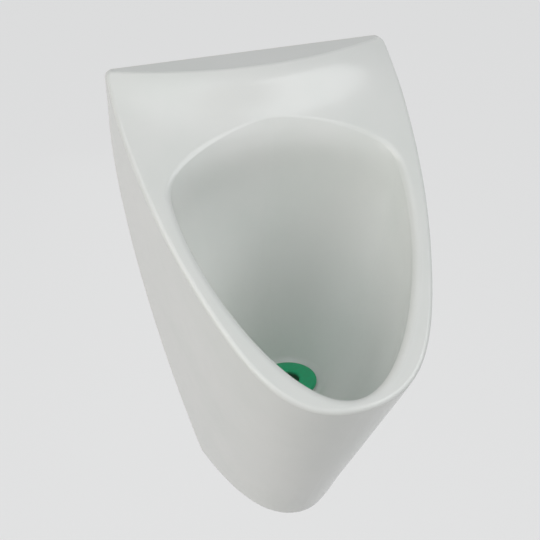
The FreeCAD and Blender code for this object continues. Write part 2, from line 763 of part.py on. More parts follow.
def build_nodes():
    """Every piece by its name."""
    seal_high = boss_under
    slip_high = seal_high - under_seal_thickness
    hanger_seat = hook_steel + washer_thickness
    lower_seat = lug_thickness + bush_collar + washer_thickness
    joints = joint_frames()
    return {
        "ceramic_bowl": ceramic_bowl(),
        "left_hanger": hanger(-1),
        "right_hanger": hanger(1),
        "hook_pads": group(hook_pad(sign) for sign in (-1, 1)),
        "hanger_screws": group(wall_screw(place, hanger_seat) for place in hanger_holes()),
        "hanger_washers": group(washer(place, hook_steel) for place in hanger_holes()),
        "lower_screws": group(wall_screw(place, lower_seat) for place in lower_holes()),
        "lower_washers": group(washer(place, lug_thickness + bush_collar)
                               for place in lower_holes()),
        "lower_bushes": group(lower_bush(place) for place in lower_holes()),
        "drain_housing": drain_housing(),
        "flange_seal": flat_ring(outlet_radius + thread_clearance, flange_radius, recess_floor,
                                 recess_floor + seal_thickness),
        "underside_seal": flat_ring(housing_radius + thread_clearance, under_seal_radius,
                                    slip_high, seal_high),
        "slip_washer": flat_ring(housing_radius + thread_clearance, under_seal_radius,
                                 slip_high - slip_thickness, slip_high),
        "back_nut": back_nut(),
        "cartridge_cup": cartridge_cup(),
        "cartridge_o_rings": o_rings(),
        "cover_ring": cover_ring(),
        "inlet_seal": inlet_seal(),
        "valve_float": valve_float(),
        "outlet_bend": outlet_bend(),
        "coupling_nuts": group(coupling_nut(*joint) for joint in joints),
        "cone_washers": group(cone_washer(*joint) for joint in joints),
        "wall_pipe": wall_pipe(),
        "wall_rose": wall_rose(),
    }


def export():
    """Write one STEP file for each piece, with the origin between the hanger screws."""
    os.makedirs("parts", exist_ok=True)
    for name, shape in build_nodes().items():
        placed = shape.translated(Vector(0, 0, -origin_height))
        placed.exportStep(f"parts/{name}.step")
        print(f"{name}: {len(placed.Solids)} solids, {placed.Volume / 1000.0:.1f} cm3, "
              f"valid {placed.isValid()}")


export()
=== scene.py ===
import json
import logging
import math
from dataclasses import dataclass
from enum import Enum
from typing import Callable, Dict, List, Sequence, Tuple, Union

import bpy
from mathutils import Matrix, Vector


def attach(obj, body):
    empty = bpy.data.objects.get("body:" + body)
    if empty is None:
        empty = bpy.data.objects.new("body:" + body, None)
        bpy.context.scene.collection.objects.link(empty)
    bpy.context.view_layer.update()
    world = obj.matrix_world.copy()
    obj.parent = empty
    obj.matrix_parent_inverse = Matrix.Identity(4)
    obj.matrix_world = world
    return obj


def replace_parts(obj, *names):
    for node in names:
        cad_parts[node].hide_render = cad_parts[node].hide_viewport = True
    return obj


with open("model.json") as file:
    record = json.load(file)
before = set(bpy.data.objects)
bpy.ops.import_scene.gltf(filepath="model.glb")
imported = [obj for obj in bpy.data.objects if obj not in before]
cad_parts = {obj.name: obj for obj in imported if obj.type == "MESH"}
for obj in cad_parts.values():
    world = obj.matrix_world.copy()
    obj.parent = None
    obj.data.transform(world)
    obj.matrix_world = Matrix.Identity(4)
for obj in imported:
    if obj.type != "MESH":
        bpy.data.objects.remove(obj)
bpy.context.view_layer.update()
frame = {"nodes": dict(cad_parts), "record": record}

log = logging.getLogger("urinal")

Colour = Tuple[float, float, float]
Number = Union[int, float]
Point = Tuple[float, float, float]
Spot = Tuple[float, float]
Key = Union[int, str]
Settings = Dict[str, object]
Inputs = Dict[Key, object]

# The frame's origin lies this far above the bowl's lower edge, and the drain's axis this far
# from the wall. Heights and radii below are in millimetres from the lower edge, as drawn.
RISE = 384.0
DRAIN_REACH = 115.0
MM = 0.001
FULL_TURN = 2.0 * math.pi

ALONG_X: Point = (1.0, 0.0, 0.0)
ALONG_Y: Point = (0.0, 1.0, 0.0)
ALONG_Z: Point = (0.0, 0.0, 1.0)


def drawn(x: float, y: float, height: float) -> Point:
    """A point given in millimetres above the lower edge, as metres in the frame."""
    return x * MM, y * MM, (height - RISE) * MM


# ------------------------------------------------------------------ shader building
class Signal:
    """A number or colour on its way through a graph, with arithmetic that adds nodes."""

    def __init__(self, graph: "Graph", socket: bpy.types.NodeSocket) -> None:
        """Wrap a socket.

        Args:
            graph: the graph that the socket belongs to.
            socket: the output socket to go on from.
        """
        self.graph = graph
        self.socket = socket

    def _math(self, operation: str, *values: Union["Signal", Number]) -> "Signal":
        """Add one Math node.

        Args:
            operation: the node's operation.
            values: the numbers or signals that it works on, in their order.

        Returns:
            What the node gives.
        """
        inputs = dict(enumerate(values))
        return self.graph.signal("ShaderNodeMath", {"operation": operation}, inputs)

    def __add__(self, other: Union["Signal", Number]) -> "Signal":
        """The sum."""
        return self._math("ADD", self, other)

    def __radd__(self, other: Number) -> "Signal":
        """The sum, with the number first."""
        return self._math("ADD", other, self)

    def __sub__(self, other: Union["Signal", Number]) -> "Signal":
        """The difference."""
        return self._math("SUBTRACT", self, other)

    def __rsub__(self, other: Number) -> "Signal":
        """The difference, with the number first."""
        return self._math("SUBTRACT", other, self)

    def __mul__(self, other: Union["Signal", Number]) -> "Signal":
        """The product."""
        return self._math("MULTIPLY", self, other)

    def __rmul__(self, other: Number) -> "Signal":
        """The product, with the number first."""
        return self._math("MULTIPLY", other, self)

    def or_else(self, other: "Signal") -> "Signal":
        """The larger of two masks."""
        return self._math("MAXIMUM", self, other)

    def band(self, low: Number, high: Number) -> "Signal":
        """Step smoothly from 0 to 1.

        Args:
            low: the value up to which the step gives 0.
            high: the value from which it gives 1.

        Returns:
            The step.
        """
        settings = {"interpolation_type": "SMOOTHSTEP"}
        inputs = {"Value": self, "From Min": low, "From Max": high, "To Min": 0.0, "To Max": 1.0}
        return self.graph.signal("ShaderNodeMapRange", settings, inputs, "Result")


class Graph:
    """The nodes of a material or of the world, all added by one method."""

    def __init__(self, tree: bpy.types.NodeTree) -> None:
        """Start from an empty tree.

        Args:
            tree: the node tree that is filled.
        """
        self.tree = tree
        self.tree.nodes.clear()

    def node(self, kind: str, settings: Settings, inputs: Inputs) -> bpy.types.Node:
        """Add a node of any kind.

        Args:
            kind: Blender's name for the node's type.
            settings: the node's own properties, which are set first.
            inputs: values or signals for its sockets, by name or number.

        Returns:
            The new node.
        """
        node = self.tree.nodes.new(kind)
        for key, value in settings.items():
            setattr(node, key, value)
        for key, value in inputs.items():
            self.feed(node.inputs[key], value)
        return node

    def signal(self, kind: str, settings: Settings, inputs: Inputs, out: Key = 0) -> Signal:
        """Add a node and go on from one of its outputs.

        Args:
            kind: Blender's name for the node's type.
            settings: the node's own properties.
            inputs: values or signals for its sockets.
            out: the output's name or number.

        Returns:
            What leaves that output.
        """
        return Signal(self, self.node(kind, settings, inputs).outputs[out])

    def feed(self, socket: bpy.types.NodeSocket, value: object) -> None:
        """Link a signal to a socket, or set the socket's own value.

        Args:
            socket: the input socket.
            value: a signal, a number, a vector or a colour without its alpha.
        """
        if isinstance(value, Signal):
            self.tree.links.new(value.socket, socket)
        elif isinstance(value, tuple) and len(value) == 3 and socket.type == "RGBA":
            socket.default_value = (*value, 1.0)
        else:
            socket.default_value = value

    def in_view(self) -> Signal:
        """A mask of what is looked at, mirrored or seen through glass, and doesn't light.

        Returns:
            1 for such a ray and 0 for any other.
        """
        seen = self.signal("ShaderNodeLightPath", {}, {}, "Is Camera Ray")
        for name in ("Is Glossy Ray", "Is Transmission Ray"):
            seen = seen.or_else(self.signal("ShaderNodeLightPath", {}, {}, name))
        return seen

    def mixed(self, share: Signal, first: Signal, second: Signal) -> Signal:
        """Mix two surfaces or two backgrounds.

        Args:
            share: 0 for the first, 1 for the second.
            first: what leaves one shader.
            second: what leaves the other.

        Returns:
            The mixed shader.
        """
        return self.signal("ShaderNodeMixShader", {}, {0: share, 1: first, 2: second})


class Shader(Graph):
    """A material under construction: one Principled surface and the nodes that feed it."""

    def __init__(self, name: str) -> None:
        """Start a material with a plain surface.

        Args:
            name: the material's name.
        """
        self.material = bpy.data.materials.new(name)
        self.material.use_nodes = True
        super().__init__(self.material.node_tree)
        self.surface = self.node("ShaderNodeBsdfPrincipled", {}, {})
        self.lit = Signal(self, self.surface.outputs["BSDF"])
        self.output = self.node("ShaderNodeOutputMaterial", {}, {"Surface": self.lit})

    def set(self, **values: object) -> None:
        """Set or link the surface's sockets.

        Args:
            values: values or signals by the sockets' names, with an underscore for each space.
        """
        for key, value in values.items():
            self.feed(self.surface.inputs[key.replace("_", " ")], value)

    def place(self) -> Signal:
        """The point on the piece, in metres in its own frame."""
        return self.signal("ShaderNodeTexCoord", {}, {}, "Object")

    def axis(self, name: str) -> Signal:
        """One component of the point on the piece, by its letter."""
        return self.signal("ShaderNodeSeparateXYZ", {}, {"Vector": self.place()}, name)

    def scaled_place(self, by: Point) -> Signal:
        """The point on the piece, with each component times its own factor."""
        inputs = {0: self.place(), 1: by}
        return self.signal("ShaderNodeVectorMath", {"operation": "MULTIPLY"}, inputs)

    def from_drain(self) -> Signal:
        """Measure from the drain's upright axis.

        Returns:
            The distance in metres.
        """
        level_place = self.scaled_place((1.0, 1.0, 0.0))
        inputs = {0: level_place, 1: (0.0, -DRAIN_REACH * MM, 0.0)}
        return self.signal("ShaderNodeVectorMath", {"operation": "DISTANCE"}, inputs, "Value")

    def noise(self, size: float, detail: float = 2.0, roughness: float = 0.5,
              stretch: Point = (1.0, 1.0, 1.0)) -> Signal:
        """Soft noise from 0 to 1.

        Args:
            size: the width of its lumps, in metres.
            detail: how many finer layers it has.
            roughness: how strong the finer layers are.
            stretch: how many times finer it is along each axis.

        Returns:
            The noise's value.
        """
        inputs = {"Vector": self.scaled_place(stretch), "Scale": 1.0 / size, "Detail": detail,
                  "Roughness": roughness}
        return self.signal("ShaderNodeTexNoise", {}, inputs)

    def blend(self, share: Union[Signal, Number], first: Union[Signal, Colour],
              second: Union[Signal, Colour]) -> Signal:
        """Mix two colours.

        Args:
            share: 0 for the first colour, 1 for the second.
            first: a colour or a signal.
            second: a colour or a signal.

        Returns:
            The mixed colour.
        """
        settings = {"data_type": "RGBA", "blend_type": "MIX"}
        factor, colour_a, colour_b, colour_out = 0, 6, 7, 2
        inputs = {factor: share, colour_a: first, colour_b: second}
        return self.signal("ShaderNodeMix", settings, inputs, colour_out)

    def bump(self, height: Signal, distance: float, strength: float) -> Signal:
        """Turn a height from 0 to 1 into a surface direction.

        Args:
            height: the height map.
            distance: how high 1 is, in metres.
            strength: the share of the effect.

        Returns:
            The direction for the Normal socket.
        """
        inputs = {"Height": height, "Distance": distance, "Strength": strength}
        return self.signal("ShaderNodeBump", {}, inputs, "Normal")

    def glow_in_view(self, colour: Colour, share: float) -> None:
        """Mix a plain colour over the surface where it is seen or mirrored, but lights nothing.

        Args:
            colour: the plain colour.
            share: how much of it shows over the lit surface.
        """
        glow = self.signal("ShaderNodeEmission", {}, {"Color": colour, "Strength": 1.0})
        mixed = self.mixed(self.in_view() * share, self.lit, glow)
        self.feed(self.output.inputs["Surface"], mixed)


# ------------------------------------------------------------------ finishes
@dataclass(frozen=True)
class Glaze:
    """Clear glaze over vitreous china, left bare where the bowl stands against the wall.

    Sizes are in metres. The bare edge is a band of y, which is 0 at the wall.
    """

    name: str = "glazed_china"
    colour: Colour = (0.775, 0.79, 0.765)
    pooled: Colour = (0.745, 0.77, 0.74)
    bare: Colour = (0.74, 0.70, 0.61)
    bare_dark: Colour = (0.66, 0.62, 0.53)
    roughness: float = 0.24
    bare_roughness: float = 0.5
    coat: float = 0.15
    coat_roughness: float = 0.12
    cloud_size: float = 0.11
    wave_size: float = 0.018
    grit_size: float = 0.0009
    bare_from: float = -0.0007
    bare_full: float = -0.0002
    edge_waver: float = 0.0006
    relief: float = 0.00006

    def material(self) -> bpy.types.Material:
        """Build faint pooling, a very slight orange peel and the bare back edge.

        Returns:
            The material.
        """
        shader = Shader(self.name)
        cloud = shader.noise(self.cloud_size, 3.0, 0.55).band(0.35, 0.72)
        wave = shader.noise(self.wave_size)
        grit = shader.noise(self.grit_size, 3.0, 0.6)
        edge = shader.axis("Y") + self.edge_waver * (wave - 0.5)
        bare = edge.band(self.bare_from, self.bare_full)
        glazed = shader.blend(cloud, self.colour, self.pooled)
        body = shader.blend(grit, self.bare, self.bare_dark)
        gloss = self.roughness + 0.04 * (wave - 0.5) + 0.01 * cloud
        shader.set(Base_Color=shader.blend(bare, glazed, body),
                   Roughness=gloss + self.bare_roughness * bare,
                   Normal=shader.bump(wave * 0.8 + grit * bare, self.relief, 0.6), IOR=1.5,
                   Coat_Weight=self.coat - self.coat * bare, Coat_Roughness=self.coat_roughness)
        return shader.material


@dataclass(frozen=True)
class CoverPlastic:
    """The green moulding of the drain's cover; painted shade darkens its throat, which is also
    made duller.

    The throat's radii and the crown's height are in millimetres, the rest in metres.
    """

    name: str = "green_abs"
    colour: Colour = (0.012, 0.46, 0.20)
    worn: Colour = (0.02, 0.41, 0.18)
    # painted shade: the near-black colour that darkens the hollow of the throat
    painted_throat_shade: Colour = (0.055, 0.062, 0.05)
    roughness: float = 0.42
    throat: float = 13.5
    throat_edge: float = 3.2
    crown: float = 177.3
    # painted shade: it fades in over these depths below the crown, in metres
    painted_shade_full: float = 0.0052
    painted_shade_from: float = 0.0006
    flow_size: float = 0.006
    grain_size: float = 0.0009
    relief: float = 0.00003

    def material(self) -> bpy.types.Material:
        """Build flow marks, a fine grain and painted shade in the throat below the crown.

        Returns:
            The material.
        """
        shader = Shader(self.name)
        flow = shader.noise(self.flow_size, 3.0, 0.6).band(0.3, 0.75)
        grain = shader.noise(self.grain_size)
        crown = (self.crown - RISE) * MM
        edge = self.throat + self.throat_edge
        inside = 1.0 - shader.from_drain().band(self.throat * MM, edge * MM)
        depth = 1.0 - shader.axis("Z").band(crown - self.painted_shade_full, crown - self.painted_shade_from)
        # painted shade in the hollow of the throat, made a little uneven by the flow marks
        painted_shade = (inside * depth) * (0.8 + 0.4 * (flow - 0.5))
        tint = shader.blend(flow, self.colour, self.worn)
        shader.set(Base_Color=shader.blend(painted_shade, tint, self.painted_throat_shade),
                   Roughness=self.roughness + 0.10 * (grain - 0.5) + 0.25 * painted_shade,
                   Normal=shader.bump(grain, self.relief, 0.7), IOR=1.46)
        return shader.material


@dataclass(frozen=True)
class Plastic:
    """A moulded plastic with a fine surface grain, with its sizes in metres."""

    name: str
    colour: Colour
    roughness: float
    flow_size: float = 0.02
    grain_size: float = 0.0012
    relief: float = 0.00002
    variation: float = 0.05

    def material(self) -> bpy.types.Material:
        """Build flow marks in the colour and a fine moulded grain.

        Returns:
            The material.
        """
        shader = Shader(self.name)
        flow = shader.noise(self.flow_size, 3.0, 0.6, (1.0, 1.0, 2.0)).band(0.3, 0.75)
        grain = shader.noise(self.grain_size)
        darker = tuple(value * (1.0 - self.variation) for value in self.colour)
        shader.set(Base_Color=shader.blend(flow, self.colour, darker),
                   Roughness=self.roughness + 0.10 * (grain - 0.5) + 0.04 * flow,
                   Normal=shader.bump(grain, self.relief, 0.7), IOR=1.5)
        return shader.material


@dataclass(frozen=True)
class Rubber:
    """Moulded rubber or silicone with a dull bloom, with its sizes in metres."""

    name: str
    colour: Colour
    bloom: Colour
    roughness: float = 0.62
    patch_size: float = 0.012
    pebble_size: float = 0.0009
    relief: float = 0.00003

    def material(self) -> bpy.types.Material:
        """Build patches of bloom and a soft pebbled surface.

        Returns:
            The material.
        """
        shader = Shader(self.name)
        patch = shader.noise(self.patch_size, 4.0, 0.6).band(0.45, 0.8)
        pebble = shader.noise(self.pebble_size, 2.0, 0.6)
        shader.set(Base_Color=shader.blend(patch * 0.5, self.colour, self.bloom),
                   Roughness=self.roughness + 0.12 * (patch - 0.5),
                   Normal=shader.bump(pebble, self.relief, 0.6), IOR=1.5)
        return shader.material


@dataclass(frozen=True)
class Zinc:
    """Bright zinc plate on steel, with its faint rainbow and rolling lines, in metres."""

    name: str = "zinc_steel"
    colour: Colour = (0.66, 0.67, 0.68)
    warm: Colour = (0.70, 0.66, 0.58)
    roughness: float = 0.27
    tint_size: float = 0.015
    line_size: float = 0.0006
    spot_size: float = 0.004
    relief: float = 0.00001

    def material(self) -> bpy.types.Material:
        """Build a warm and cool tint, rolling lines and small dull spots.

        Returns:
            The material.
        """
        shader = Shader(self.name)
        tint = shader.noise(self.tint_size).band(0.4, 0.75)
        lines = shader.noise(self.line_size, 2.0, 0.6, (1.0, 1.0, 14.0))
        spots = shader.noise(self.spot_size, 4.0, 0.7).band(0.62, 0.75)
        shader.set(Base_Color=shader.blend(tint * 0.6, self.colour, self.warm), Metallic=1.0,
                   Roughness=self.roughness + 0.12 * (lines - 0.5) + 0.18 * spots,
                   Normal=shader.bump(lines, self.relief, 0.5))
        return shader.material


class Slot(Enum):
    """The record's material slots."""

    CHINA = "glazed_china"
    ZINC = "zinc_steel"
    BLACK_RUBBER = "black_rubber"
    SILICONE = "grey_silicone"
    NYLON = "white_nylon"
    WHITE_ABS = "white_abs"
    GREY_ABS = "grey_abs"
    GREEN_ABS = "green_abs"
    WHITE_PP = "white_pp"


class Finishes:
    """Makes each finish once and hands it out by its slot."""

    def __init__(self) -> None:
        """Describe the finishes, of which none is built until it is asked for."""
        black = Rubber("black_rubber", (0.018, 0.018, 0.019), (0.06, 0.06, 0.062))
        silicone = Rubber("grey_silicone", (0.36, 0.375, 0.385), (0.46, 0.47, 0.48), 0.45)
        self._makers: Dict[Slot, Callable[[], bpy.types.Material]] = {
            Slot.CHINA: Glaze().material,
            Slot.ZINC: Zinc().material,
            Slot.BLACK_RUBBER: black.material,
            Slot.SILICONE: silicone.material,
            Slot.NYLON: Plastic("white_nylon", (0.74, 0.74, 0.69), 0.5).material,
            Slot.WHITE_ABS: Plastic("white_abs", (0.74, 0.75, 0.735), 0.3).material,
            Slot.GREY_ABS: Plastic("grey_abs", (0.20, 0.21, 0.22), 0.45).material,
            Slot.GREEN_ABS: CoverPlastic().material,
            Slot.WHITE_PP: Plastic("white_pp", (0.70, 0.71, 0.71), 0.42).material,
        }
        self._made: Dict[Slot, bpy.types.Material] = {}

    def get(self, slot: Slot) -> bpy.types.Material:
        """Hand out the finish of a slot.

        Args:
            slot: the record's material slot.

        Returns:
            Its material, built on first use.
        """
        if slot not in self._made:
            self._made[slot] = self._makers[slot]()
        return self._made[slot]


# ------------------------------------------------------------------ mesh building
class Skin:
    """A closed mesh under construction, made of rings of points."""

    def __init__(self) -> None:
        """Start with no points."""
        self.points: List[Point] = []
        self.faces: List[Tuple[int, ...]] = []

    def ring(self, points: Sequence[Point]) -> List[int]:
        """Add a ring of points.

        Args:
            points: the points in their order.

        Returns:
            The numbers that they get.
        """
        start = len(self.points)
        self.points.extend(points)
        return list(range(start, len(self.points)))

    def bridge(self, first: Sequence[int], second: Sequence[int]) -> None:
        """Join two rings of one length with four-sided faces.

        Args:
            first: the numbers of one ring's points.
            second: those of the other.
        """
        for index in range(len(first)):
            after = (index + 1) % len(first)
            self.faces.append((first[index], first[after], second[after], second[index]))

    def tube(self, rings: Sequence[Sequence[Point]], looped: bool = False) -> None:
        """Join rings one after the other.

        Args:
            rings: the rings, each with one number of points.
            looped: join the last ring to the first, and otherwise close both ends.
        """
        made = [self.ring(points) for points in rings]
        for first, second in zip(made, made[1:]):
            self.bridge(first, second)
        if looped:
            self.bridge(made[-1], made[0])
        else:
            self.faces.append(tuple(reversed(made[0])))
            self.faces.append(tuple(made[-1]))

    def piece(self, name: str, body: str, finish: bpy.types.Material,
              sharp: float = 32.0) -> bpy.types.Object:
        """Turn the points and faces into a piece that rides on a body.

        Args:
            name: the piece's name.
            body: the CAD body that it moves with.
            finish: its material.
            sharp: the angle in degrees beyond which an edge stays sharp.

        Returns:
            The new object.
        """
        mesh = bpy.data.meshes.new(name)
        mesh.from_pydata(self.points, [], self.faces)
        mesh.validate()
        mesh.materials.append(finish)
        mesh.shade_smooth()
        mesh.set_sharp_from_angle(angle=math.radians(sharp))
        made = bpy.data.objects.new(name, mesh)
        bpy.context.scene.collection.objects.link(made)
        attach(made, body)
        log.info("%s: %d faces on %s", name, len(self.faces), body)
        return made


@dataclass(frozen=True)
class Thread:
    """A thread's ridge round a cylinder, in millimetres, run out at both ends."""

    radius: float
    depth: float
    pitch: float
    turns: float
    steps_a_turn: int = 60
    run_out_steps: float = 20.0
    run_out_depth: float = 0.1
    foot_share: float = 0.34
    crest_share: float = 0.28
    sunk: float = 0.3

    def section(self, fade: float) -> List[Spot]:
        """Draw the ridge's section.

        Args:
            fade: 0 where the ridge starts or ends, 1 where it has its full depth.

        Returns:
            Its corners, as a radius and a distance from the ridge's middle.
        """
        crest = self.radius + self.depth * (self.run_out_depth
                                            + (1.0 - self.run_out_depth) * fade)
        half = self.pitch * self.foot_share
        return [(self.radius - self.sunk, -half), (crest, -half * self.crest_share),
                (crest, half * self.crest_share), (self.radius - self.sunk, half)]


@dataclass(frozen=True)
class Turning:
    """Turns profiles and threads about one axis, from a centre in metres."""

    centre: Point
    across: Point
    other: Point
    along: Point

    def at(self, radius: float, angle: float, distance: float) -> Point:
        """Find a point by its place round the axis.

        Args:
            radius: its distance from the axis, in millimetres.
            angle: its angle in radians.
            distance: how far it lies along the axis, in millimetres.

        Returns:
            The point, in metres.
        """
        sides = (radius * math.cos(angle) * MM, radius * math.sin(angle) * MM, distance * MM)
        return tuple(start + sum(share * line[index] for share, line
                                 in zip(sides, (self.across, self.other, self.along)))
                     for index, start in enumerate(self.centre))

    def lathe(self, skin: Skin, profile: Sequence[Spot], steps: int = 96) -> None:
        """Revolve a profile into a ring-shaped body.

        Args:
            skin: the mesh that the body is added to.
            profile: a closed line of radii and distances, in millimetres.
            steps: how many times the profile stands round the axis.
        """
        rings = [[self.at(radius, FULL_TURN * step / steps, distance)
                  for radius, distance in profile] for step in range(steps)]
        skin.tube(rings, looped=True)

    def wind(self, skin: Skin, thread: Thread) -> None:
        """Wind a thread's ridge, upwards from the centre.

        Args:
            skin: the mesh that the ridge is added to.
            thread: the ridge's sizes.
        """
        steps = int(thread.turns * thread.steps_a_turn)
        rings = []
        for step in range(steps + 1):
            angle = FULL_TURN * thread.turns * step / steps
            middle = thread.pitch * thread.turns * step / steps
            fade = min(1.0, step / thread.run_out_steps, (steps - step) / thread.run_out_steps)
            rings.append([self.at(reach, angle, middle + up)
                          for reach, up in thread.section(fade)])
        skin.tube(rings)


def arc(centre: Spot, radius: float, start: float, end: float, steps: int) -> List[Spot]:
    """Points on an arc.

    Args:
        centre: the arc's centre.
        radius: its radius.
        start: the angle that it starts at, in degrees.
        end: the angle that it ends at, in degrees.
        steps: how many parts it has.

    Returns:
        The points, both ends among them.
    """
    angles = [math.radians(start + (end - start) * step / steps) for step in range(steps + 1)]
    return [(centre[0] + radius * math.cos(a), centre[1] + radius * math.sin(a)) for a in angles]


def upright_turning(height: float) -> Turning:
    """Turning about the drain's axis, upwards from a height."""
    return Turning(drawn(0.0, -DRAIN_REACH, height), ALONG_X, ALONG_Y, ALONG_Z)


def wall_turning(x: float, y: float, height: float) -> Turning:
    """Turning about an axis that goes into the wall, from a point in millimetres."""
    return Turning(drawn(x, y, height), ALONG_Z, ALONG_X, ALONG_Y)


# ------------------------------------------------------------------ sub-assemblies
@dataclass
class Part:
    """A sub-assembly that dresses its own CAD nodes and adds its own pieces."""

    finishes: Finishes

    def dress(self, *nodes: str) -> None:
        """Give CAD nodes the finish that the record names for them.

        Args:
            nodes: the nodes' names.
        """
        slots = {row["node"]: Slot(row["material_slot"]) for row in frame["record"]["subparts"]}
        for name in nodes:
            materials = frame["nodes"][name].data.materials
            materials.clear()
            materials.append(self.finishes.get(slots[name]))
            log.info("%s: %s", name, slots[name].value)

    def add(self, skin: Skin, name: str, body: str, slot: Slot) -> bpy.types.Object:
        """Turn a mesh into a piece with its slot's finish."""
        return skin.piece(name, body, self.finishes.get(slot))


@dataclass(frozen=True)
class WoodScrew:
    """A hexagon-headed wood screw, in millimetres, with a dished and chamfered head.

    Distances run into the wall from its face, and depths down from the head's top.
    """

    across_flats: float = 13.0
    head: float = 5.3
    dish: Tuple[Spot, ...] = ((1.0, 0.45), (3.6, 0.4), (4.6, 0.08), (5.2, 0.0))
    chamfer_depths: Tuple[float, ...] = (0.0, 0.35, 0.7, 1.05, 1.4)
    chamfer_slope: float = 1.06
    chamfer_inset: float = 0.3
    seat_edge: float = 0.2
    seat_inset: float = 0.1
    neck: float = 0.35
    neck_length: float = 0.3
    shank: float = 3.5
    shank_end: float = 0.2
    shank_margin: float = 0.05
    crest: float = 3.9
    root: float = 2.95
    pitch: float = 3.6
    rows_a_turn: float = 10.0
    ridge_share: float = 0.26
    groove_speed: float = 3.0
    point_start: float = 36.2
    end: float = 44.0
    tip: float = 0.6
    sides: int = 36

    def row(self, turning: Turning, distance: float,
            radius: Callable[[float], float]) -> List[Point]:
        """Make one ring of points round the screw.

        Args:
            turning: the screw's axis.
            distance: where the ring lies along it.
            radius: gives the ring's radius at an angle.

        Returns:
            The ring's points.
        """
        angles = [FULL_TURN * step / self.sides for step in range(self.sides)]
        return [turning.at(radius(angle), angle, distance) for angle in angles]

    def head_radius(self, depth: float, angle: float) -> float:
        """Find the chamfered hexagon's radius.

        Args:
            depth: the depth below the head's top.
            angle: the angle round the axis.

        Returns:
            The radius.
        """
        half = self.across_flats / 2.0
        cone = half - self.chamfer_inset + depth * self.chamfer_slope
        sixth = math.pi / 3.0
        return min(cone, half / math.cos((angle + sixth / 2.0) % sixth - sixth / 2.0))

    def thread_radius(self, distance: float, angle: float) -> float:
        """Find the threaded shank's radius.

        Args:
            distance: the distance from the wall's face.
            angle: the angle round the axis.

        Returns:
            The radius.
        """
        share = max(0.0, (distance - self.point_start) / (self.end - self.point_start))
        crest = self.crest + (self.tip - self.crest) * share
        root = crest * self.root / self.crest
        turn = (distance / self.pitch - angle / FULL_TURN) % 1.0
        ridge = max(0.0, 1.0 - abs(turn - 0.5) / self.ridge_share)
        run_in = min(1.0, (distance - self.shank_end) / self.pitch)
        start = self.shank + (root - self.shank) * min(1.0, self.groove_speed * run_in)
        return start + (crest - start) * ridge * run_in

    def add_to(self, skin: Skin, place: Spot, seat: float) -> None:
        """Add one screw: head, neck, shank, rolled thread and point.

        Args:
            skin: the mesh that it is added to.
            place: its x and height on the wall.
            seat: the distance from the wall to the underside of its head.
        """
        turning = wall_turning(place[0], 0.0, place[1])
        top = -seat - self.head
        under = self.across_flats / 2.0 - self.seat_inset
        rows = [self.row(turning, top + sink, lambda angle, wide=wide: wide)
                for wide, sink in self.dish]
        rows += [self.row(turning, top + depth,
                          lambda angle, depth=depth: self.head_radius(depth, angle))
                 for depth in (*self.chamfer_depths, self.head - self.seat_edge)]
        rows += [self.row(turning, distance, lambda angle, wide=wide: wide)
                 for wide, distance in ((under, -seat), (self.shank + self.neck, -seat),
                                        (self.shank, -seat + self.neck_length),
                                        (self.shank, self.shank_end - self.shank_margin))]
        length = self.end - self.shank_end
        steps = int(length / (self.pitch / self.rows_a_turn))
        for step in range(steps + 1):
            distance = self.shank_end + length * step / steps
            rows.append(self.row(turning, distance,
                                 lambda angle, far=distance: self.thread_radius(far, angle)))
        skin.tube(rows)


@dataclass
class ChinaBowl(Part):
    """The china and the two hangers, with pads, screws, washers and bushes.

    Places are an x and a height, and seats a screw head's distance from the wall.
    """

    screw: WoodScrew = WoodScrew()
    hanger_places: Tuple[Spot, ...] = ((-90.0, 398.0), (90.0, 398.0), (-90.0, 370.0),
                                       (90.0, 370.0))
    lower_places: Tuple[Spot, ...] = ((-72.0, 78.0), (72.0, 78.0))
    hanger_seat: float = 4.6
    lower_seat: float = 17.6

    def build(self) -> None:
        """Dress the fixed nodes and put threaded screws in place of the plain ones."""
        self.dress("ceramic_bowl", "left_hanger", "right_hanger", "hook_pads",
                   "hanger_washers", "lower_washers", "lower_bushes")
        self.screws("hanger_screws", self.hanger_places, self.hanger_seat)
        self.screws("lower_screws", self.lower_places, self.lower_seat)

    def screws(self, node: str, places: Sequence[Spot], seat: float) -> None:
        """Put one piece of threaded screws in place of a node.

        Args:
            node: the node that it stands for.
            places: where the screws go into the wall.
            seat: how far their heads' undersides are from it.
        """
        skin = Skin()
        for place in places:
            self.screw.add_to(skin, place, seat)
        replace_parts(self.add(skin, f"threaded_{node}", "bowl", Slot.ZINC), node)


@dataclass
class DrainFitting(Part):
    """The drain's housing under the china, with its seals, washer and threaded nut."""

    housing_radius: float = 28.0
    thread_low: float = 118.5
    thread_high: float = 136.5
    thread_depth: float = 0.9
    pitch: float = 3.0

    def build(self) -> None:
        """Dress the housing's nodes and wind the housing's thread below the nut."""
        self.dress("drain_housing", "flange_seal", "underside_seal", "slip_washer", "back_nut")
        turns = (self.thread_high - self.thread_low) / self.pitch
        thread = Thread(self.housing_radius, self.thread_depth, self.pitch, turns)
        skin = Skin()
        upright_turning(self.thread_low).wind(skin, thread)
        self.add(skin, "housing_thread", "bowl", Slot.WHITE_ABS)


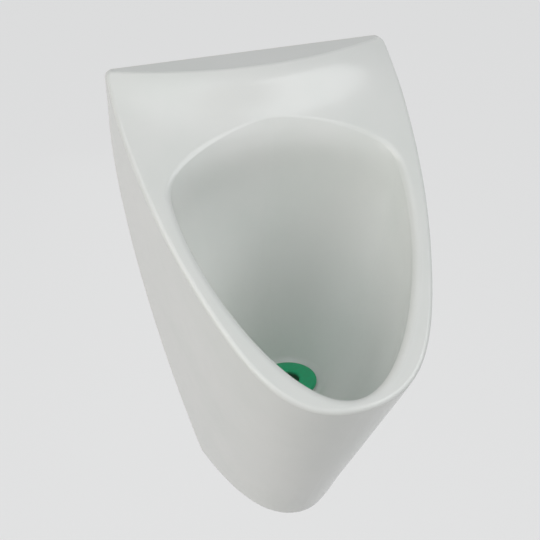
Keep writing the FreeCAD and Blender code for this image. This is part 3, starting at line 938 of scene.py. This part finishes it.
@dataclass
class Cartridge(Part):
    """The lift-out cartridge with its O-rings, rim lip, green cover, seal and float."""

    ring_heights: Tuple[float, float] = (157.0, 149.0)
    ring_inner: float = 22.7
    ring_outer: float = 24.92
    ring_sides: int = 24
    lip_inner: float = 32.6
    lip_outer: float = 35.3
    lip_low: float = 170.35
    lip_high: float = 171.55
    lip_sides: int = 120

    def build(self) -> None:
        """Dress the cartridge's nodes, and add round O-rings and the lip under the cover."""
        self.dress("cartridge_cup", "cover_ring", "inlet_seal", "valve_float")
        self.o_rings()
        self.lip()

    def o_rings(self) -> None:
        """Put round O-rings in place of the plain ones."""
        skin = Skin()
        half = (self.ring_outer - self.ring_inner) / 2.0
        last = 360.0 - 360.0 / self.ring_sides
        section = arc((self.ring_inner + half, 0.0), half, 0.0, last, self.ring_sides - 1)
        for height in self.ring_heights:
            upright_turning(height).lathe(skin, section)
        rings = self.add(skin, "round_o_rings", "cartridge", Slot.BLACK_RUBBER)
        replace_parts(rings, "cartridge_o_rings")

    def lip(self) -> None:
        """Turn the cup's thin white lip, which shows round the green cover."""
        skin = Skin()
        half = (self.lip_high - self.lip_low) / 2.0
        rounded = arc((self.lip_outer - half, half), half, -90.0, 90.0, 8)
        section = [(self.lip_inner, 0.0), *rounded, (self.lip_inner, 2.0 * half)]
        upright_turning(self.lip_low).lathe(skin, section, self.lip_sides)
        self.add(skin, "cartridge_lip", "cartridge", Slot.WHITE_ABS)


@dataclass
class WasteRun(Part):
    """The waste bend, its two ribbed nuts and cone washers, the wall pipe and the rose.

    The rose's face is given as radii and falls behind its front, in millimetres.
    """

    socket_thread: Thread = Thread(24.0, 0.8, 2.4, 3.2)
    upper_thread_height: float = 74.5
    lower_thread_y: float = -80.5
    pipe_height: float = 40.0
    bore: float = 20.3
    bore_edge: float = 0.6
    rose_radius: float = 34.0
    rose_depth: float = 6.0
    rose_face: Tuple[Spot, ...] = ((24.5, 0.0), (26.0, 0.15), (28.5, 0.9), (31.0, 2.2),
                                   (32.8, 3.6))
    rose_edge: float = 1.6
    foot_edge: float = 0.3
    outer_land: float = 2.0
    inner_land: float = 2.4
    relief_slope: float = 0.6
    relief: float = 0.7
    rose_sides: int = 120

    def build(self) -> None:
        """Dress the nodes, wind the sockets' threads and turn the rounded rose."""
        self.dress("outlet_bend", "coupling_nuts", "cone_washers", "wall_pipe")
        skin = Skin()
        upright_turning(self.upper_thread_height).wind(skin, self.socket_thread)
        wall_turning(0.0, self.lower_thread_y, self.pipe_height).wind(skin, self.socket_thread)
        self.add(skin, "socket_threads", "bowl", Slot.WHITE_PP)
        self.rose()

    def rose_profile(self) -> List[Spot]:
        """Draw the rose's section, from its bore round its face to the hollow at the wall.

        Returns:
            Radii and distances into the wall, in millimetres.
        """
        front, wide, edge = -self.rose_depth, self.rose_radius, self.rose_edge
        bore = [(self.bore, front + self.bore_edge), (self.bore + self.bore_edge, front)]
        face = [(radius, front + fall) for radius, fall in self.rose_face]
        rim = [*arc((wide - edge, -edge), edge, -35.0, 0.0, 4), (wide, -self.foot_edge),
               (wide - self.foot_edge, 0.0)]
        outer, inner = wide - self.outer_land, self.bore + self.inner_land
        hollow = [(outer, 0.0), (outer - self.relief_slope, -self.relief),
                  (inner + self.relief_slope, -self.relief), (inner, 0.0)]
        return [(self.bore, 0.0), *bore, *face, *rim, *hollow]

    def rose(self) -> None:
        """Turn a rounded rose in place of the plain one."""
        skin = Skin()
        turning = wall_turning(0.0, 0.0, self.pipe_height)
        turning.lathe(skin, self.rose_profile(), self.rose_sides)
        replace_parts(self.add(skin, "rounded_wall_rose", "bowl", Slot.WHITE_PP), "wall_rose")


# ------------------------------------------------------------------ camera and room
@dataclass(frozen=True)
class Lamp:
    """A soft square lamp: its place and side in metres, watts, and its beam in degrees."""

    name: str
    place: Point
    watts: float
    colour: Colour
    side: float = 2.4
    beam: float = 180.0

    def hang(self, aim: Point) -> None:
        """Hang the lamp.

        Args:
            aim: the point that it faces.
        """
        data = bpy.data.lights.new(self.name, "AREA")
        data.shape = "SQUARE"
        data.size = self.side
        data.energy = self.watts
        data.color = self.colour
        data.spread = math.radians(self.beam)
        lamp = bpy.data.objects.new(self.name, data)
        lamp.location = self.place
        facing = (Vector(aim) - Vector(self.place)).to_track_quat("-Z", "Y")
        lamp.rotation_euler = facing.to_euler()
        bpy.context.scene.collection.objects.link(lamp)


@dataclass
class Studio:
    """The camera at the photograph's place, the floor, the pale room and the soft lamps.

    Lengths are in metres and angles in degrees; the lens and the sensor are in millimetres.
    """

    place: Point = (-0.3193, -1.0747, 0.5202)
    yaw: float = 17.455
    pitch: float = 29.827
    roll: float = -1.729
    lens: float = 69.775
    sensor: float = 36.0
    nearest: float = 0.01
    aim: Point = (0.0, -0.15, -0.10)
    lamps: Tuple[Lamp, ...] = (
        Lamp("key", (-2.4, -1.2, 0.6), 37.5, (1.0, 0.955, 0.93)),
        Lamp("fill", (1.9, -2.0, 1.4), 44.0, (0.975, 0.98, 1.0)),
        Lamp("upper", (-1.2, -1.4, 2.0), 19.0, (0.91, 0.955, 1.0)),
        Lamp("rear", (0.4, 2.6, -0.44), 3.6, (1.0, 0.995, 0.98), 0.9, 70.0))
    backdrop: Colour = (0.80, 0.805, 0.81)
    daylight: Colour = (1.0, 1.0, 0.98)
    daylight_strength: float = 0.155
    floor_level: float = -0.95
    floor_half: float = 14.0
    floor_paint: Colour = (0.50, 0.50, 0.495)
    floor_shade: Colour = (0.47, 0.47, 0.465)
    floor_roughness: float = 0.85
    floor_cloud: float = 0.6
    floor_pale: Colour = (0.94, 0.945, 0.95)
    floor_glow: float = 0.72

    def camera(self) -> None:
        """Put the camera where the photograph was taken from."""
        yaw, pitch, roll = (math.radians(a) for a in (self.yaw, self.pitch, self.roll))
        look = Vector((math.sin(yaw) * math.cos(pitch), math.cos(yaw) * math.cos(pitch),
                       -math.sin(pitch)))
        flat = Vector((math.cos(yaw), -math.sin(yaw), 0.0))
        above = flat.cross(look)
        right = math.cos(roll) * flat + math.sin(roll) * above
        up = math.cos(roll) * above - math.sin(roll) * flat
        camera = bpy.data.objects.new("camera", bpy.data.cameras.new("camera"))
        camera.data.lens = self.lens
        camera.data.sensor_width = self.sensor
        camera.data.clip_start = self.nearest
        camera.matrix_world = Matrix((
            (right.x, up.x, -look.x, self.place[0]),
            (right.y, up.y, -look.y, self.place[1]),
            (right.z, up.z, -look.z, self.place[2]),
            (0.0, 0.0, 0.0, 1.0)))
        bpy.context.scene.collection.objects.link(camera)
        bpy.context.scene.camera = camera

    def light(self) -> None:
        """Light the bowl broadly from the front, and its open back from low behind."""
        for lamp in self.lamps:
            lamp.hang(self.aim)

    def room(self) -> None:
        """Make a world that looks pale to the camera and in reflections, and lights softly."""
        world = bpy.data.worlds.new("room")
        bpy.context.scene.world = world
        world.use_nodes = True
        graph = Graph(world.node_tree)
        pale = graph.signal("ShaderNodeBackground", {}, {"Color": self.backdrop})
        light = graph.signal("ShaderNodeBackground", {},
                             {"Color": self.daylight, "Strength": self.daylight_strength})
        mixed = graph.mixed(graph.in_view(), light, pale)
        graph.node("ShaderNodeOutputWorld", {}, {"Surface": mixed})

    def floor(self) -> None:
        """Lay a plain pale floor well below the bowl, which keeps the bowl's shadow."""
        mesh = bpy.data.meshes.new("floor")
        half, level = self.floor_half, self.floor_level
        corners = [(-half, -half, level), (half, -half, level), (half, half, level),
                   (-half, half, level)]
        mesh.from_pydata(corners, [], [(0, 1, 2, 3)])
        floor = bpy.data.objects.new("floor", mesh)
        bpy.context.scene.collection.objects.link(floor)
        shader = Shader("floor_paint")
        cloud = shader.noise(self.floor_cloud, 3.0)
        shader.set(Base_Color=shader.blend(cloud, self.floor_paint, self.floor_shade),
                   Roughness=self.floor_roughness)
        shader.glow_in_view(self.floor_pale, self.floor_glow)
        mesh.materials.append(shader.material)

    def build(self) -> None:
        """Make everything that isn't part of the object."""
        self.camera()
        self.light()
        self.room()
        self.floor()
        bpy.context.scene.view_settings.view_transform = "Standard"


def main() -> None:
    """Build the studio and dress the urinal, sub-assembly by sub-assembly."""
    logging.basicConfig(level=logging.INFO, format="%(name)s: %(message)s")
    Studio().build()
    finishes = Finishes()
    for part in (ChinaBowl, DrainFitting, Cartridge, WasteRun):
        part(finishes).build()
    bpy.context.view_layer.update()


if __name__ == "__main__":
    main()
